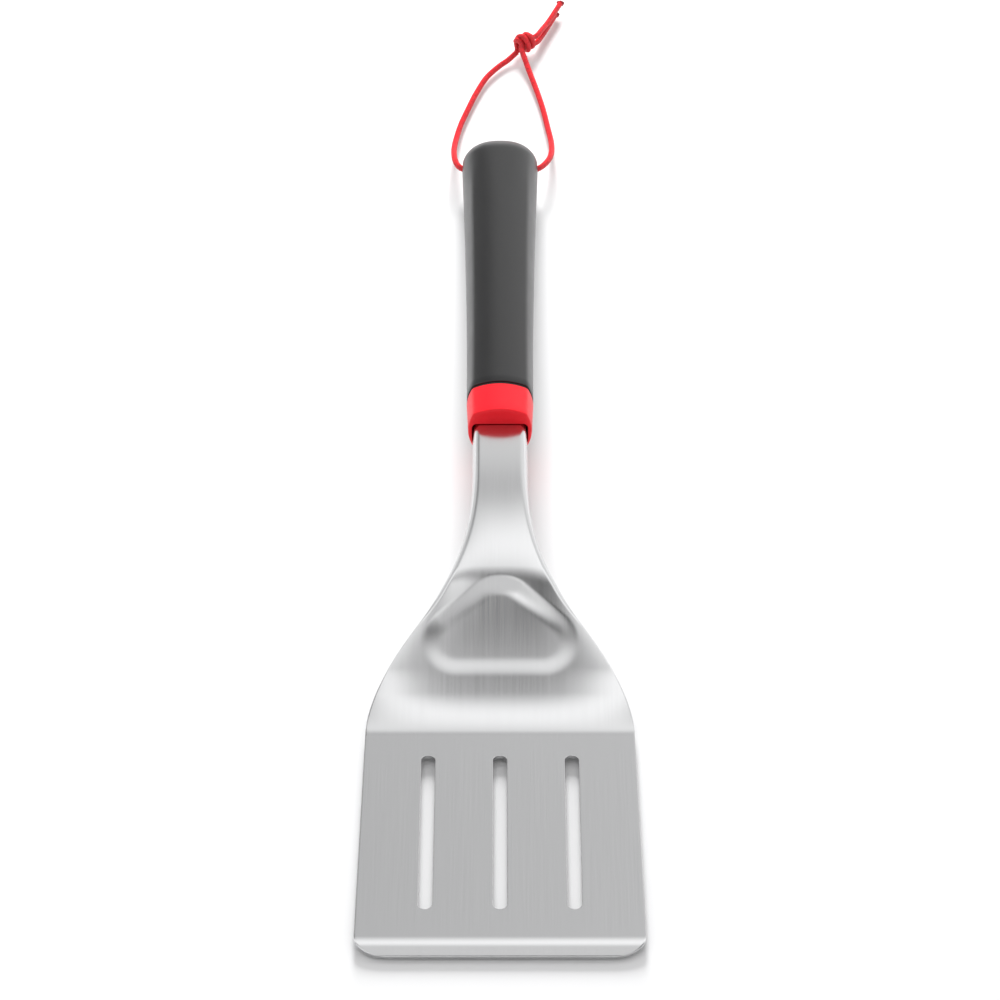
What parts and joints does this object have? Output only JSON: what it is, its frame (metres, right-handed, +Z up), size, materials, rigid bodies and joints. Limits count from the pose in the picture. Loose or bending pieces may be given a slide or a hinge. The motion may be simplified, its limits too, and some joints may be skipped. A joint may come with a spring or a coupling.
{
  "type": "grill spatula",
  "caption": "Slotted steel grill spatula with a shallow rounded-triangle dish pressed into its neck, dark moulded grip, red collar and a knotted hanging cord.",
  "frame": {"origin": "on the table under the middle of the tool's length, without its cord: bottom centre of the bounding box of the head and handle", "axes": "+Y runs from the blade to the butt of the handle, +X is to the right seen from the blade with +Z up, +Z is up from the table"},
  "size_m": [0.1006, 0.6134, 0.0371],
  "materials": {
    "blade_steel": "fine satin, brushed lengthwise",
    "pin_steel": "plain turned",
    "core_nylon": "moulded, matt",
    "grip_soft_touch": "soft-touch charcoal, matt",
    "collar_red": "smooth red moulding, satin",
    "seal_rubber": "matt black",
    "cord_braid": "tight red braid, waxed"
  },
  "bodies": {
    "spatula": {"turner_blade": "blade_steel", "handle_core": "core_nylon", "grip": "grip_soft_touch", "collar": "collar_red", "collar_seal": "seal_rubber", "tang_pin_front": "pin_steel", "tang_pin_rear": "pin_steel"},
    "hanging_loop": {"cord_loop": "cord_braid", "cord_knot": "cord_braid", "cord_tail_upper": "cord_braid", "cord_tail_lower": "cord_braid"}
  },
  "joints": [
    {"name": "loop_swing", "type": "hinge", "parent": "spatula", "child": "hanging_loop", "pos_m": [0, 0.22187, 0.01154], "axis": [1, 0, 0], "range_deg": [-130, 150]}
  ]
}
